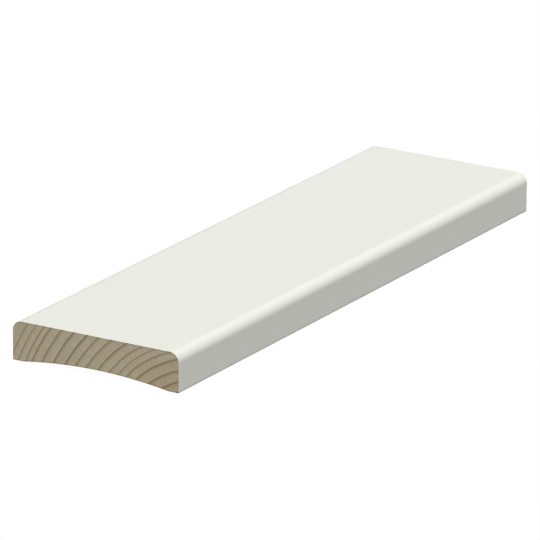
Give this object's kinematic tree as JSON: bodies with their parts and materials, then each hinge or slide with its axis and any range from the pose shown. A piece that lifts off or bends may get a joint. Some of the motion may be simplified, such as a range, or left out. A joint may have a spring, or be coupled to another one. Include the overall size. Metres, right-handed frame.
{
  "type": "architrave moulding",
  "caption": "Straight flat-faced architrave trim with rounded front arrises and a hollowed back, planed softwood painted off-white, cut square at both ends.",
  "frame": {"origin": "middle of the back, level with the two flat lands that it rests on", "axes": "+X across the width, +Y along the length and the grain, +Z from the back to the painted face"},
  "size_m": [0.056, 0.2, 0.012],
  "materials": {
    "white_paint": "satin off-white factory paint on the face, the round-overs and the two long edges",
    "bare_pine": "bare planed pine on the hollowed back, bare sawn end grain on both ends"
  },
  "bodies": {
    "root": {"architrave_moulding": "white_paint"}
  },
  "joints": []
}
